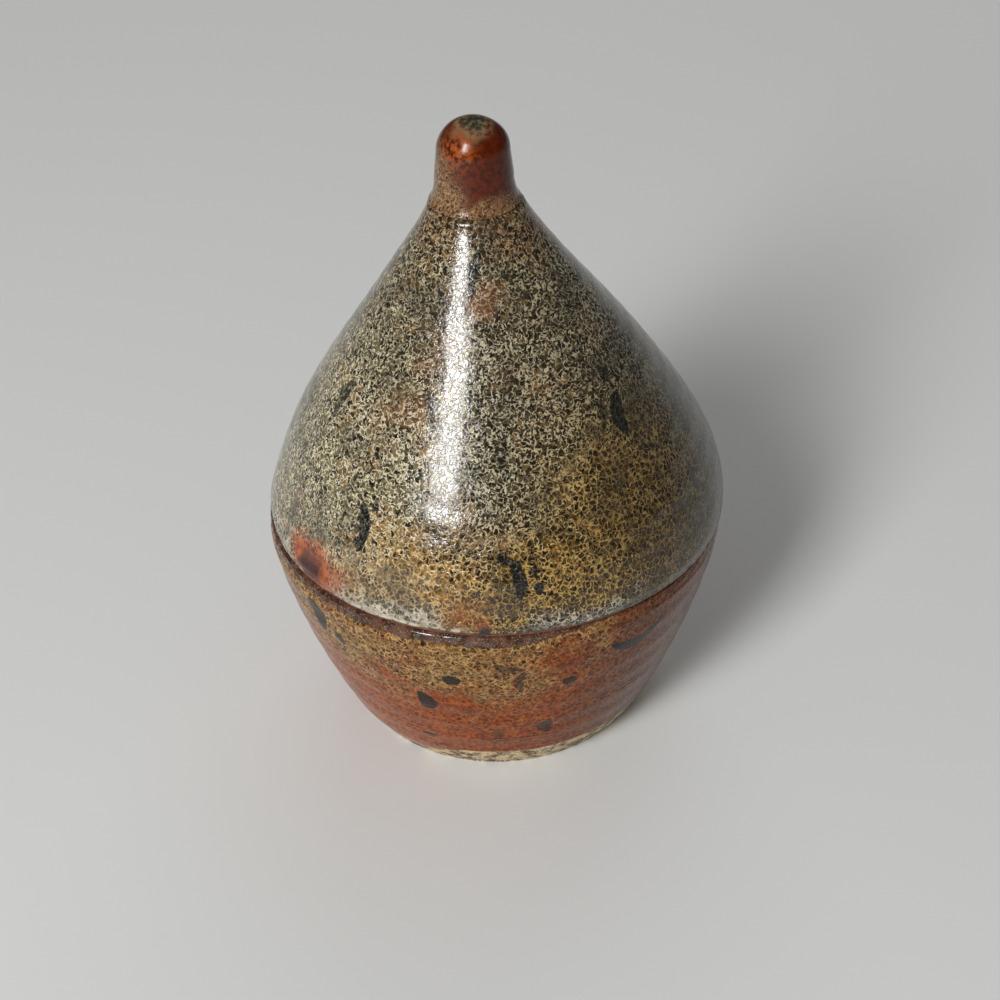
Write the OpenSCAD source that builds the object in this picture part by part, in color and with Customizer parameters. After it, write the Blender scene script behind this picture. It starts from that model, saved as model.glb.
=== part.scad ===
// Lidded jar: a round stoneware bowl closed by a tall leaning cone with a knob.
// Millimetres, +Z up. The origin is the centre of the foot, on the table.

/* [Jar] */
// Outer radius of the jar at its rim
rim_r = 80; // [70:0.5:90]
// Height of the rim above the table
jar_h = 82; // [70:1:95]
// Outer radius of the foot
foot_r = 53.5; // [46:0.5:60]
// Thickness of the jar's wall
wall_t = 7; // [5:0.5:8.5]
// Thickness of the floor above the recess in the foot
floor_t = 7; // [5:0.5:10]
// Width of the flat ring that the jar stands on
foot_ring_w = 9; // [6:0.5:14]
// Depth of the recess inside the foot ring
foot_recess = 3; // [1:0.5:5]
// Rounding of the lower edge of the foot
foot_round = 1; // [0.5:0.25:1.5]
// How far the wall's curve is drawn out above the foot
flare_out = 8; // [5:0.5:12]
// How far the wall's curve is drawn up above the foot
flare_up = 10; // [6:1:18]
// Height over which the wall straightens below the rim
rim_straight = 16.5; // [10:0.5:26]
// Rounding of the rim's outer edge
rim_round = 2.5; // [1:0.5:3.5]
// Chamfer of the rim's inner edge
rim_chamfer = 1; // [0.5:0.25:1.5]

/* [Lid] */
// Overhang of the lid's edge past the rim
lid_overhang = 0.5; // [0:0.1:1.5]
// Height of the cone from the rim to the seat of the knob
cone_h = 116.5; // [100:0.5:130]
// Radius of the cone at the seat of the knob
seat_r = 15.3; // [14.5:0.1:18]
// Thickness of the cone's wall
cone_t = 8; // [6:0.5:10]
// Thickness of the clay under the knob
crown_t = 14; // [10:0.5:18]
// Height over which the cone stays near upright above its edge
shoulder_up = 29; // [18:1:36]
// Slope of the cone at the knob, from the upright
seat_slope = 14.5; // [8:0.5:30]
// Length over which the cone keeps that slope
seat_run = 15; // [8:1:24]
// Lean of the cone towards -X, in degrees
cone_lean = 2.2; // [0:0.1:3]
// Shift of the cone's edge towards +X
cone_shift = 0.8; // [0:0.1:1.2]
// Bevel of the cone's lower edge
edge_bevel = 1.5; // [0.5:0.25:2.5]
// Bevel of the cone's upper edge, round the knob
seat_bevel = 1.2; // [0.4:0.1:1.6]

/* [Flange] */
// Depth of the flange that hangs in the jar's mouth
flange_h = 10; // [6:0.5:16]
// Thickness of the flange
flange_t = 6; // [4:0.5:8]
// Gap between the flange and the jar's mouth
flange_gap = 1.2; // [0.6:0.1:2]

/* [Knob] */
// Height of the knob above its seat
knob_h = 28; // [24:0.5:36]
// Gap between the edge of the seat and the knob's foot
knob_inset = 0.3; // [0.1:0.1:0.8]
// Rounding of the knob's foot
knob_round = 1; // [0.5:0.1:1.2]
// Radius of the knob at its waist
waist_r = 12.7; // [11.5:0.1:13]
// Height of the waist above the seat
waist_h = 9.5; // [7:0.5:11]
// Radius of the knob below its dome
dome_r = 11.8; // [10:0.1:13]
// Height of the dome
dome_h = 10.5; // [8:0.5:12]

/* [Hidden] */
$fn = 96;

// Steps along a curve, and along a rounded edge
curve_n = 24;
round_n = 8;
// Share of the way to its corner that a rounded bend is drawn, as in a quarter circle
ease = 0.55;
// Overrun of a cut past the faces it cuts
over = 1;

// Height of the floor inside the jar, and of the knob's seat
floor_z = foot_recess + floor_t;
seat_z = jar_h + cone_h;
// Radii of the jar's mouth, the flange, its bore and the lid's edge
mouth_r = rim_r - wall_t;
flange_r = mouth_r - flange_gap;
bore_r = flange_r - flange_t;
lid_r = rim_r + lid_overhang;
// Run of the sloping wall inside the foot ring
recess_run = foot_recess / 2;
// Share of the wall's curve, from the foot up, that the floor rounds into
bowl_turn = 0.34;
// Share of the wall's curve, from the foot up, where the flange's plug starts
plug_low = 0.6;
// Shares of the cone's curve, from the edge up, where its hollow starts and rounds over
hollow_low = 0.16;
hollow_top = 0.72;
// Middle of the knob, moved by the lean
knob_x = cone_shift - cone_h * tan(cone_lean);
// Run and drop of the bevel round the knob
bevel_run = 2 * seat_r;
bevel_drop = seat_r;

// The point at share t of a cubic curve given by its two ends and two handles
function on_curve(p, t) =
    let (u = 1 - t)
    u * u * u * p[0] + 3 * u * u * t * p[1] + 3 * u * t * t * p[2] + t * t * t * p[3];

// The direction of that curve at share t
function along(p, t) =
    let (u = 1 - t)
    let (v = u * u * (p[1] - p[0]) + 2 * u * t * (p[2] - p[1]) + t * t * (p[3] - p[2]))
    v / norm(v);

// The point at distance d from that curve, on the side of the axis
function inside(p, t, d) = on_curve(p, t) + d * [-along(p, t)[1], along(p, t)[0]];

// Points along a curve, and points at distance d inside it
function curve(p) = [for (i = [0 : curve_n]) on_curve(p, i / curve_n)];
function inner_curve(p, d, from, to) =
    [for (i = [0 : curve_n]) inside(p, from + (to - from) * i / curve_n, d)];

// A rounded bend from a to b, inside the corner c
function bend(a, c, b) = [a, a + ease * (c - a), b + ease * (c - b), b];

// Points along an arc round [r, z]
function arc(r, z, radius, from, to) =
    [for (i = [0 : round_n])
        let (a = from + (to - from) * i / round_n)
        [r + radius * cos(a), z + radius * sin(a)]];

// The outer line of the jar's wall
wall_line = [
    [foot_r, foot_round],
    [foot_r + flare_out, flare_up],
    [rim_r, jar_h - rim_round - rim_straight],
    [rim_r, jar_h - rim_round]
];

// The outer line of the cone, with heights from the rim up
cone_line = [
    [lid_r, edge_bevel],
    [lid_r, edge_bevel + shoulder_up],
    [seat_r + seat_run * sin(seat_slope), cone_h - seat_run * cos(seat_slope)],
    [seat_r, cone_h]
];

// The bend from the inside of the wall into the floor
bowl_edge = inside(wall_line, bowl_turn, wall_t);
bowl_way = along(wall_line, bowl_turn);
bowl_corner = bowl_edge - (bowl_edge[1] - floor_z) / bowl_way[1] * bowl_way;
bowl_line = bend(bowl_edge, bowl_corner, [0, floor_z]);

// The bend from the inside of the cone to the top of its hollow
crown_z = cone_h - crown_t;
hollow_edge = inside(cone_line, hollow_top, cone_t);
hollow_way = along(cone_line, hollow_top);
hollow_corner = hollow_edge + (crown_z - hollow_edge[1]) / hollow_way[1] * hollow_way;
crown_line = bend(hollow_edge, hollow_corner, [0, crown_z]);

// The bowl: foot ring, wall, bare flat rim and rounded inside
module jar_body() {
    color("sienna")
    rotate_extrude()
    polygon(concat(
        [[0, foot_recess]],
        [[foot_r - foot_ring_w - recess_run, foot_recess]],
        [[foot_r - foot_ring_w, 0]],
        arc(foot_r - foot_round, foot_round, foot_round, -90, -20),
        curve(wall_line),
        arc(rim_r - rim_round, jar_h - rim_round, rim_round, 10, 90),
        [[mouth_r + rim_chamfer, jar_h]],
        [[mouth_r, jar_h - rim_chamfer]],
        inner_curve(wall_line, wall_t, 1, bowl_turn),
        curve(bowl_line)
    ));
}

// The outside of the cone, run on past both of its cut ends
module cone_outside() {
    top = cone_line[3] + seat_r * along(cone_line, 1);
    rotate_extrude()
    polygon(concat(
        [[0, -seat_r]],
        [[lid_r, -seat_r]],
        curve(cone_line),
        [top],
        [[0, top[1]]]
    ));
}

// The hollow of the cone, from the flange's bore up
module cone_hollow() {
    rotate_extrude()
    polygon(concat(
        [[0, 0]],
        [[bore_r - over, 0]],
        [[bore_r - over, edge_bevel]],
        inner_curve(cone_line, cone_t, hollow_low, hollow_top),
        curve(crown_line)
    ));
}

// The bevelled level edge that the cone is cut to below
module edge_cut() {
    rotate_extrude()
    polygon([
        [0, 0],
        [lid_r - edge_bevel, 0],
        [lid_r - edge_bevel + cone_h, cone_h],
        [0, cone_h]
    ]);
}

// The bevelled level seat that the cone is cut to above
module seat_cut() {
    inner_r = seat_r - seat_bevel;
    slopes = cone_h / bevel_drop;
    rotate_extrude()
    polygon([
        [0, 0],
        [inner_r + slopes * bevel_run, 0],
        [inner_r, cone_h],
        [0, cone_h]
    ]);
}

// The flange, which follows the inside of the jar's mouth at an even gap
module flange() {
    top = jar_h + edge_bevel;
    intersection() {
        rotate_extrude()
        polygon(concat(
            [[0, inside(wall_line, plug_low, wall_t + flange_gap)[1]]],
            inner_curve(wall_line, wall_t + flange_gap, plug_low, 1),
            [[flange_r, top]],
            [[0, top]]
        ));
        translate([0, 0, jar_h - flange_h])
        cylinder(r = rim_r, h = flange_h + edge_bevel);
    }
}

// The cone of the lid, with the flange that keeps it in the jar's mouth
module lid_cone() {
    color("darkkhaki")
    difference() {
        union() {
            intersection() {
                translate([cone_shift, 0, jar_h])
                rotate([0, -cone_lean, 0])
                cone_outside();
                translate([cone_shift, 0, jar_h])
                edge_cut();
                translate([knob_x, 0, jar_h])
                seat_cut();
            }
            flange();
        }
        translate([cone_shift, 0, jar_h])
        rotate([0, -cone_lean, 0])
        cone_hollow();
        translate([0, 0, jar_h - flange_h - over])
        cylinder(r = bore_r, h = flange_h + edge_bevel + 2 * over);
    }
}

// The knob: rounded foot, flared waist, tapered grip and a low dome
module lid_knob() {
    foot = seat_r - knob_inset;
    dome_z = knob_h - dome_h;
    color("saddlebrown")
    translate([knob_x, 0, seat_z])
    rotate_extrude()
    polygon(concat(
        [[0, 0]],
        arc(foot - knob_round, knob_round, knob_round, -90, 0),
        curve(bend([foot, knob_round], [waist_r, knob_round], [waist_r, waist_h])),
        curve(bend([dome_r, dome_z], [dome_r, knob_h], [0, knob_h]))
    ));
}

jar_body();
lid_cone();
lid_knob();
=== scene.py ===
# %% [markdown]
# # A salt-glazed jar with a tall lid
# The imported model gives three plain solids: the bowl of the jar, the cone of the lid and its knob.
# This lesson dresses them as hand-thrown stoneware. It starts by loading the solids, which stay the
# measure for everything that follows.

# %% Load the imported model
import math
import bpy
import numpy as np
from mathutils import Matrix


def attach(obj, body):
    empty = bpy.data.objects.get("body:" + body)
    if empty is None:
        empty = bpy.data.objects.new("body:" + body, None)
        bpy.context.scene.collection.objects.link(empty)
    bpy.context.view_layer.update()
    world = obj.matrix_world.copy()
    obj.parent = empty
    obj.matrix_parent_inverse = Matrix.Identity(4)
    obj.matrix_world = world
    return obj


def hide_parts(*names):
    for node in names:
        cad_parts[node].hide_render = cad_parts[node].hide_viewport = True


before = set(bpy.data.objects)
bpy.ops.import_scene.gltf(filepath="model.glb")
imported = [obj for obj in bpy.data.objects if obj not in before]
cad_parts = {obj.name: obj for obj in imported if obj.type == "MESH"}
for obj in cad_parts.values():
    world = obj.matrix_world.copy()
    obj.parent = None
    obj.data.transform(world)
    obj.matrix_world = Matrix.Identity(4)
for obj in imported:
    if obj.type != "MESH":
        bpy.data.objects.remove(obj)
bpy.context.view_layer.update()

# %% [markdown]
# ## The camera
# The photograph looks down on the jar from the front. Its lens, place and tilt were worked out from
# the straight lines in it. A camera is a frame of three directions: right, up and backwards. They are
# written as the columns of its matrix, which is clearer than three angles.

# %% Camera at the photograph's angle
MM = 0.001
CAMERA_PLACE = np.array([0.0, -543.0, 485.0]) * MM
PITCH, YAW, ROLL = np.radians([36.85, 0.2, -1.45])
FOCAL_MM, SENSOR_MM, NEAREST = 68.4, 36.0, 0.01


def set_up(name, data, place, *directions):
    """Puts a camera or lamp at a place. Its right, up and backwards are the columns of its matrix."""
    matrix = np.eye(4)
    matrix[:3, :3] = np.stack(directions, axis=1)
    matrix[:3, 3] = place
    thing = bpy.data.objects.new(name, data)
    thing.matrix_world = matrix.T
    bpy.context.collection.objects.link(thing)
    return thing


forward = np.array([math.sin(YAW) * math.cos(PITCH), math.cos(YAW) * math.cos(PITCH),
                    -math.sin(PITCH)])
level = np.array([math.cos(YAW), -math.sin(YAW), 0.0])
above = np.cross(level, forward)
right = math.cos(ROLL) * level + math.sin(ROLL) * above
upward = math.cos(ROLL) * above - math.sin(ROLL) * level
lens = bpy.data.cameras.new("photo_camera")
lens.sensor_width, lens.lens, lens.clip_start = SENSOR_MM, FOCAL_MM, NEAREST
bpy.context.scene.camera = set_up("photo_camera", lens, CAMERA_PLACE, right, upward, -forward)
bpy.context.scene.view_settings.view_transform = "Standard"
print("camera at", CAMERA_PLACE.round(3), "looking", forward.round(3))

# %% [markdown]
# ## The floor
# A wide pale floor takes the shadow. Colours are written as they look on a screen and turned into
# the linear numbers that shaders use.

# %% Floor
FLOOR_RADIUS = 5.0


def srgb(r, g, b):
    """A screen colour of 0 to 255 as a linear colour: ((c + 0.055) / 1.055) ^ 2.4, or c / 12.92
    where it is very dark."""
    c = np.array([r, g, b]) / 255.0
    linear = np.where(c <= 0.04045, c / 12.92, ((c + 0.055) / 1.055) ** 2.4)
    return (*linear.tolist(), 1.0)


bpy.ops.mesh.primitive_circle_add(vertices=96, radius=FLOOR_RADIUS, fill_type="NGON",
                                  location=(0, 0, 0))
floor = bpy.context.object
floor.name = "studio_floor"
floor_paint = bpy.data.materials.new("studio_floor")
floor_paint.use_nodes = True
floor_shader = floor_paint.node_tree.nodes["Principled BSDF"]
floor_shader.inputs["Base Color"].default_value = srgb(228, 229, 227)
floor_shader.inputs["Roughness"].default_value = 0.6
floor.data.materials.append(floor_paint)
print("floor radius", FLOOR_RADIUS, "m")

# %% [markdown]
# ## The light
# One soft lamp stands in front on the left, as in the photograph, and draws the long highlight down
# the cone. It is set so that a colour facing it renders about as it is written. A weak, wide lamp
# behind keeps the far side readable. It is hidden from reflections, so that the glaze shows only one
# highlight.

# %% Key lamp and fill lamp
LAMP_AWAY, AIM = 2.6, np.array([0, 0, 0.11])


def lamp(name, way, wide, high, power):
    """A rectangular lamp on the side of the jar that way points to, facing the jar's middle. Its side
    is the cross product of up and way, and its own up that of way and side."""
    light = bpy.data.lights.new(name, "AREA")
    light.shape = "RECTANGLE"
    light.size, light.size_y, light.energy = wide, high, power
    back = np.array(way) / np.linalg.norm(way)
    side = np.cross([0, 0, 1], back)
    side /= np.linalg.norm(side)
    place = back * LAMP_AWAY + AIM
    print(name, "lamp at", place.round(2), "with", power, "W")
    return set_up(name, light, place, side, np.cross(back, side), back)


lamp("key", (-0.432, -0.719, 0.545), wide=0.64, high=1.15, power=60.0)
fill = lamp("fill", (0.14, 0.90, 0.42), wide=2.2, high=1.4, power=15.0)
fill.visible_glossy = False

# %% [markdown]
# ## The world
# A pale world fills the shadows. A lamp would do that too, but it would add a highlight of its own.
# The world is dimmer in reflections, so that the glaze keeps its own colour.

# %% World
WORLD, MIRRORED = 0.17, 0.09
world = bpy.data.worlds.new("studio")
bpy.context.scene.world = world
world.use_nodes = True
sky = world.node_tree.nodes["Background"].inputs
sky["Color"].default_value = (1.0, 1.0, 1.0, 1.0)
ray = world.node_tree.nodes.new("ShaderNodeLightPath")
dim = world.node_tree.nodes.new("ShaderNodeMapRange")
dim.inputs["To Min"].default_value, dim.inputs["To Max"].default_value = WORLD, MIRRORED
world.node_tree.links.new(ray.outputs["Is Glossy Ray"], dim.inputs["Value"])
world.node_tree.links.new(dim.outputs[0], sky["Strength"])
print("world strength", WORLD, "and in reflections", MIRRORED)

# %% [markdown]
# ## Curves
# Thrown pots are round, so each piece is a profile carried round an axis. The profile is made of
# straight runs, arcs and cubic curves, as the solids' own profiles are. Each helper gives a row of
# points, with the radius first and the height second.

# %% Helpers for profiles
def cubic(p, n, start=0.0, end=1.0):
    """Points of a cubic curve: its ends and handles are weighted by (1-t)^3, 3t(1-t)^2, 3t^2(1-t)
    and t^3."""
    t = np.linspace(start, end, n)[:, None]
    u = 1 - t
    p = np.asarray(p, float)
    return u ** 3 * p[0] + 3 * t * u ** 2 * p[1] + 3 * t * t * u * p[2] + t ** 3 * p[3]


def cubic_inside(p, n, d, start=0.0, end=1.0):
    """The same curve moved by d towards the axis, along the normal (-dz, dr) of its direction
    (dr, dz)."""
    t = np.linspace(start, end, n)[:, None]
    u = 1 - t
    q = np.asarray(p, float)
    way = u ** 2 * (q[1] - q[0]) + 2 * t * u * (q[2] - q[1]) + t * t * (q[3] - q[2])
    way /= np.linalg.norm(way, axis=1, keepdims=True)
    return cubic(p, n, start, end) + d * np.stack([-way[:, 1], way[:, 0]], axis=1)


def bend(a, c, b, n):
    """A rounded bend from a to b inside the corner c: a cubic with handles 0.55 of the way to c."""
    a, b, c = (np.asarray(v, float) for v in (a, b, c))
    return cubic([a, a + 0.55 * (c - a), b + 0.55 * (c - b), b], n)


def arc(r, z, radius, start, end, n):
    """n points on a circle of that radius round (r, z), from one angle to another in degrees."""
    a = np.radians(np.linspace(start, end, n))
    return np.stack([r + radius * np.cos(a), z + radius * np.sin(a)], axis=1)


def drawn_on(p, share, point, height):
    """Where a straight line from a point, in a cubic curve's direction at that share, reaches a
    height: point + (height - z) / dz * (dr, dz)."""
    way = np.diff(cubic(p, 3, share - 0.01, share + 0.01), axis=0).sum(axis=0)
    return point + (height - point[1]) / way[1] * way


def swell(z, low, high):
    """A smooth step from 0 below low to 1 above high: 3t^2 - 2t^3."""
    t = np.clip((z - low) / (high - low), 0, 1)
    return t * t * (3 - 2 * t)


line = np.linspace
print("profile helpers ready")

# %% [markdown]
# ## Skins
# A ring of points at every step of the profile gives a grid, and `ring_skin` joins the grid into one
# closed mesh: the first and the last ring shrink to a single point, so no seam or hole is left.
# Blender's Screw modifier could do the same for a perfect round, but a grid of points can also lean,
# sag and ripple as clay does.

# %% Helper for skins
AROUND = 320
theta = np.linspace(0, 2 * np.pi, AROUND, endpoint=False)[None, :]


def ring_skin(name, rings, finishes, row_finish):
    """A closed mesh from rings of points (rows, around, 3) in millimetres: quads between neighbouring
    rings, and a fan of triangles to one point at each end. row_finish gives each row's material."""
    rows, around = rings.shape[:2]
    verts = np.vstack([rings[0, :1], rings[1:-1].reshape(-1, 3), rings[-1, :1]]) * MM
    k = np.arange(around)
    nxt = (k + 1) % around
    first = 1 + np.arange(rows - 2)[:, None] * around
    low, high = first[:-1], first[1:]
    quads = np.stack([low + k, low + nxt, high + nxt, high + k], axis=-1).reshape(-1, 4)
    start_fan = np.stack([np.zeros_like(k), 1 + nxt, 1 + k], axis=-1)
    end_fan = np.stack([np.full_like(k, len(verts) - 1), first[-1] + k, first[-1] + nxt], axis=-1)
    mesh = bpy.data.meshes.new(name)
    mesh.from_pydata(verts.tolist(), [], quads.tolist() + start_fan.tolist() + end_fan.tolist())
    mesh.polygons.foreach_set("use_smooth", np.ones(len(mesh.polygons), bool))
    row_finish = np.asarray(row_finish)
    faces = np.repeat(np.concatenate([row_finish[1:-2], row_finish[[0, -1]]]), around)
    for finish in finishes:
        mesh.materials.append(finish)
    mesh.polygons.foreach_set("material_index", faces.astype(np.int32))
    mesh.update()
    piece = bpy.data.objects.new(name, mesh)
    bpy.context.collection.objects.link(piece)
    print(name, "has", len(verts), "points and", 2 * len(quads) + 2 * around, "triangles")
    return piece


print("rings of", AROUND, "points")

# %% [markdown]
# ## The bowl of the jar
# The potter throws the bowl thick, trims the lower wall and turns a foot ring. The profile starts in
# the middle of the underside and runs round the foot, up the outside, over the rim and down the
# inside. The wall's curve is the one that the solid has.

# %% Profile of the bowl
RIM_Z, RIM_R, RIM_ROUND, RIM_CHAMFER = 82.0, 80.0, 2.5, 1.0
FOOT_R, FOOT_ROUND, FOOT_RING_R = 53.5, 1.0, 44.5
RECESS_R, RECESS_Z = 43.0, 3.0
WALL_T, FLOOR_Z, FLOOR_TURN = 7.0, 10.0, 0.34
OUTSIDE, INSIDE, UNDER = 0, 1, 2


def join(runs):
    """All rows of a list of runs, and the finish of each row."""
    finishes = [np.full(len(run), finish) for run, finish in runs]
    return np.vstack([run for run, _ in runs]), np.concatenate(finishes)


mouth_r = RIM_R - WALL_T
wall = [(FOOT_R, FOOT_ROUND), (61.5, 10.0), (RIM_R, 63.0), (RIM_R, RIM_Z - RIM_ROUND)]
inside_edge = cubic_inside(wall, 2, WALL_T, FLOOR_TURN, 1.0)[0]
inside_corner = drawn_on(wall, FLOOR_TURN, inside_edge, FLOOR_Z)
jar_profile, jar_finish = join([
    (line((0, RECESS_Z), (RECESS_R, RECESS_Z), 10), UNDER),
    (line((RECESS_R, RECESS_Z), (FOOT_RING_R, 0), 4), UNDER),
    (line((FOOT_RING_R, 0), (FOOT_R - FOOT_ROUND, 0), 6), UNDER),
    (arc(FOOT_R - FOOT_ROUND, FOOT_ROUND, FOOT_ROUND, -90, -20, 5), OUTSIDE),
    (cubic(wall, 170), OUTSIDE),
    (arc(RIM_R - RIM_ROUND, RIM_Z - RIM_ROUND, RIM_ROUND, 5, 90, 9), OUTSIDE),
    (line((RIM_R - RIM_ROUND, RIM_Z), (mouth_r + RIM_CHAMFER, RIM_Z), 6), OUTSIDE),
    (line((mouth_r + RIM_CHAMFER, RIM_Z), (mouth_r, RIM_Z - RIM_CHAMFER), 3), INSIDE),
    (cubic_inside(wall, 36, WALL_T, 1.0, FLOOR_TURN), INSIDE),
    (bend(inside_edge, inside_corner, (0, FLOOR_Z), 34), INSIDE),
])
print("bowl:", len(jar_profile), "rows")

# %% [markdown]
# ## Ridges of the bowl
# Fine ridges from the trimming tool run round the lower half in a slow spiral, and fingers left
# rings inside. Both are small waves added to the radius, so that they show at the outline too. The
# glaze stops short of the rim and of the foot, and its thickness leaves a small step there.

# %% Rings of the bowl
SMOOTH_BAND = 4.0


def jar_waves(z, angle):
    """Ridges on the outside of the bowl, in mm: a spiral of 2.3 mm pitch low on the wall, a slower
    one of 11 mm all the way up, a step of a quarter millimetre where the glaze stops, and small
    dents in the rim."""
    low = 1 - swell(z, 34, 58)
    fine = np.sin(2 * np.pi * z / 2.3 + angle + 1.4 * np.sin(3 * angle + z / 6))
    fine *= 0.5 + 0.5 * np.sin(2 * angle + z / 5 + 2 * np.sin(5 * angle))
    slow = np.sin(2 * np.pi * z / 11 - angle)
    held = swell(z, 0, 5) * (1 - swell(z, 76, 79))
    glaze = swell(z, 3.5, 6) - swell(z, 76.6, 77.6)
    dents = 0.10 * np.sin(23 * angle + z) * np.sin(9 * angle + 1.3) + 0.08 * np.sin(41 * angle - 2 * z)
    at_rim = swell(z, 77, 79) * (dents - 0.1)
    return held * (0.07 * low * fine + 0.12 * slow) + 0.25 * (glaze - 1) + at_rim


def finger_rings(r, z, angle):
    """Finger rings inside the bowl, in mm: a spiral of 7 mm pitch that dies out towards the axis."""
    return 0.16 * np.sin(2 * np.pi * z / 7 + angle) * np.clip(r / 30, 0, 1)


def upright(r, z, centre=0.0):
    """Rings of an upright round form about one middle in x: x = centre + r cos(a) and y = r sin(a),
    with radii and heights in mm."""
    return np.stack([centre + r * np.cos(theta), r * np.sin(theta), z + 0 * theta], axis=-1)


r, z = jar_profile[:, :1], jar_profile[:, 1:]
outer_rows = (jar_finish == OUTSIDE)[:, None] & (z < RIM_Z - RIM_CHAMFER)
inner_rows = (jar_finish == INSIDE)[:, None] & (z < RIM_Z - SMOOTH_BAND)
jar_r = r + np.where(outer_rows, jar_waves(z, theta), 0.0)
jar_r += np.where(inner_rows, finger_rings(r, z, theta), 0.0)
jar_rings = upright(jar_r, z)
print("widest radius of the bowl:", jar_r.max().round(2), "mm")

# %% [markdown]
# ## The cone of the lid
# The lid was thrown as a tall cone, dried a little askew and trimmed level at its edge. So the rows
# are level, but each sits on an axis that leans. For a row at height z, the point at angle a lies at
# the height l on the leaning axis where l cos(lean) + r(l) cos(a) sin(lean) = z. A few rounds of
# substitution settle l for the whole grid at once.

# %% Leaning rows of the cone
LEAN, SHIFT, SEAT = math.radians(2.2), 0.8, 116.5
LID_R, EDGE_BEVEL, SHOULDER = 80.5, 1.5, 29.0
SEAT_R, SEAT_BEVEL, SEAT_RUN, SEAT_SLOPE = 15.3, 1.2, 15.0, math.radians(14.5)
# The outline runs on past both ends, so that each leaning row finds its radius
RUN_DOWN, RUN_ON = -20.0, np.array([-2.5, 9.66])
cone = [(LID_R, EDGE_BEVEL), (LID_R, EDGE_BEVEL + SHOULDER),
        (SEAT_R + SEAT_RUN * math.sin(SEAT_SLOPE), SEAT - SEAT_RUN * math.cos(SEAT_SLOPE)),
        (SEAT_R, SEAT)]
cone_points = cubic(cone, 400)
cone_points = np.vstack([[(LID_R, RUN_DOWN)], cone_points, cone_points[-1] + RUN_ON])


def lean_rows(points, heights):
    """Rings of a leaning round form, at level heights in mm above the rim. points holds the form's
    radius and height along its own axis. With l settled, x = shift + r cos(a) cos(lean) - l sin(lean)
    and y = r sin(a)."""
    z = np.asarray(heights, float)[:, None]
    along = z + 0 * theta
    for _ in range(6):
        radius = np.interp(along, points[:, 1], points[:, 0])
        along = (z - radius * np.cos(theta) * math.sin(LEAN)) / math.cos(LEAN)
    x = SHIFT + radius * np.cos(theta) * math.cos(LEAN) - along * math.sin(LEAN)
    return np.stack([x, radius * np.sin(theta), RIM_Z + z + 0 * theta], axis=-1)


print("the cone leans by", round(math.degrees(LEAN), 2), "degrees")

# %% [markdown]
# ## Unevenness of the cone
# No thrown cone is quite round. Slow swells, a faint spiral and a roll of glaze above the edge
# stretch or shorten the arm from the leaning axis to each point. Rows lie close together at the edge,
# where the shape changes most.

# %% Rings of the cone's outside
CLOSE_TOP, CLOSE_ROWS, ROW_GAP, WIDE_ROWS = 8.0, 16, 0.4, 180


def cone_waves(z, angle):
    """Unevenness of the cone in mm: slow swells round it and up it, a faint throwing spiral of 8 mm
    pitch, and a small roll of glaze above the bare edge at the front left. It is taken in by half a
    millimetre so that nothing stands outside the solid's widest place."""
    up = swell(z, 4, 22) * (1 - 0.7 * swell(z, 90, 112))
    slow = 0.35 * np.sin(2 * angle + z / 40) + 0.25 * np.sin(3 * angle - z / 23 + 1)
    slow = slow + 0.2 * np.sin(z / 9 + angle)
    spiral = 0.06 * np.sin(2 * np.pi * z / 8 + angle)
    near = np.clip(0.2 + 0.8 * np.cos(angle + 2.1), 0, 1)
    roll = 0.45 * near * np.exp(-(((z - 5.2) / 1.5) ** 2))
    roll = roll - (0.1 + 0.25 * near) * (1 - swell(z, 2.6, 4.2))
    return up * (slow + spiral) + roll - 0.5 * (1 - swell(z, 10, 40))


heights = np.concatenate([np.linspace(EDGE_BEVEL, CLOSE_TOP, CLOSE_ROWS),
                          np.linspace(CLOSE_TOP + ROW_GAP, SEAT - SEAT_BEVEL, WIDE_ROWS)])
outside = lean_rows(cone_points, heights)
middle = SHIFT - heights[:, None] * math.tan(LEAN)
arm_x, arm_y = outside[..., 0] - middle, outside[..., 1]
grow = 1 + cone_waves(heights[:, None], theta) / np.hypot(arm_x, arm_y)
outside[..., 0], outside[..., 1] = middle + arm_x * grow, arm_y * grow
print("outside of the cone:", len(heights), "rows")

# %% [markdown]
# ## Inside the lid
# Under the edge hangs a flange that keeps the lid in the jar's mouth. It follows the inside of the
# jar's wall at an even gap. Its rings are upright, and so are those of the edge and of the seat that
# carries the knob.

# %% Rings of the flange, the edge and the seat
FLANGE_GAP, FLANGE_R, BORE_R, BORE_TOP, FLANGE_LOW = 1.2, 71.8, 65.8, 84.5, 72.0
PLUG_LOW, EDGE_R = 0.83, 78.4
# The flange's lower corners are broken a little, and its top is straight
BREAK_IN, BREAK_OUT, BREAK_UP, STRAIGHT = 0.6, 0.3, 0.2, 1.5

knob_x = SHIFT - SEAT * math.tan(LEAN)
seat_ring = upright(SEAT_R - SEAT_BEVEL, RIM_Z + SEAT, knob_x)
seat_mid = upright(0.0, RIM_Z + SEAT, knob_x)
edge_ring = upright(EDGE_R, RIM_Z, SHIFT)
plug = cubic_inside(wall, 14, WALL_T + FLANGE_GAP, PLUG_LOW, 1.0)
flange = np.vstack([
    [(BORE_R, BORE_TOP)], line((BORE_R, RIM_Z), (BORE_R, FLANGE_LOW), 6),
    line((BORE_R + BREAK_IN, FLANGE_LOW), (plug[0, 0] - BREAK_OUT, FLANGE_LOW), 4),
    plug[plug[:, 1] > FLANGE_LOW + BREAK_UP], [(FLANGE_R, RIM_Z - STRAIGHT), (FLANGE_R, RIM_Z)]])
flange_rings = upright(flange[:, :1], flange[:, 1:])
print("flange:", len(flange), "rows")

# %% [markdown]
# ## The hollow of the lid
# Above the flange the hollow leans with the cone and rounds over below the knob. All rows together
# run from the tip of the hollow down, round the flange, out to the edge and up the outside.

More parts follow.
